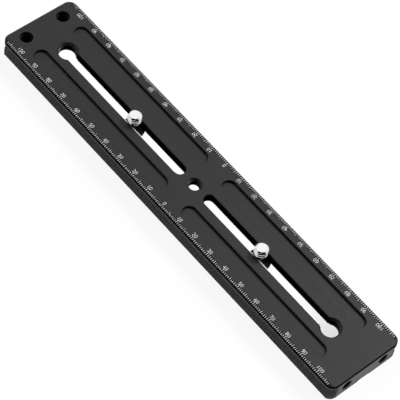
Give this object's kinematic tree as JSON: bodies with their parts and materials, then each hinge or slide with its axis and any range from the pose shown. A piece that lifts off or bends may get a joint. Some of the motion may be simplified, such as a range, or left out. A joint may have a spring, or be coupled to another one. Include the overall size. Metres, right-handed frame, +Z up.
{
  "type": "camera rail plate",
  "caption": "Long dovetail quick-release rail for a camera, with sliding captive screws in keyhole slots, threaded mounting holes and bolt holes at both ends.",
  "frame": {"origin": "middle of the underside, on the plane the rail rests on", "axes": "+X along the rail towards the end with the tapped end-face holes, +Z up out of the face the camera sits on, +Y across the rail"},
  "size_m": [0.22, 0.0392, 0.0145],
  "materials": {
    "anodised_black": "black anodised, fine satin",
    "polished_steel": "turned and polished",
    "black_nylon": "matte",
    "laser_white": "laser-marked white"
  },
  "bodies": {
    "rail": {"rail_plate": "anodised_black"},
    "rear_carrier": {"rear_washer": "black_nylon"},
    "rear_screw": {"rear_camera_screw": "polished_steel"},
    "front_carrier": {"front_washer": "black_nylon"},
    "front_screw": {"front_camera_screw": "polished_steel"}
  },
  "joints": [
    {"name": "rear_screw_slide", "type": "slide", "parent": "rail", "child": "rear_carrier", "axis": [1, 0, 0], "range_m": [-0.0465, 0.0315]},
    {"name": "rear_screw_turn", "type": "hinge", "parent": "rear_carrier", "child": "rear_screw", "pos_m": [-0.041, 0, 0.0038], "axis": [0, 0, 1], "continuous": true},
    {"name": "front_screw_slide", "type": "slide", "parent": "rail", "child": "front_carrier", "axis": [1, 0, 0], "range_m": [-0.0335, 0.0445]},
    {"name": "front_screw_turn", "type": "hinge", "parent": "front_carrier", "child": "front_screw", "pos_m": [0.043, 0, 0.0038], "axis": [0, 0, 1], "continuous": true}
  ]
}
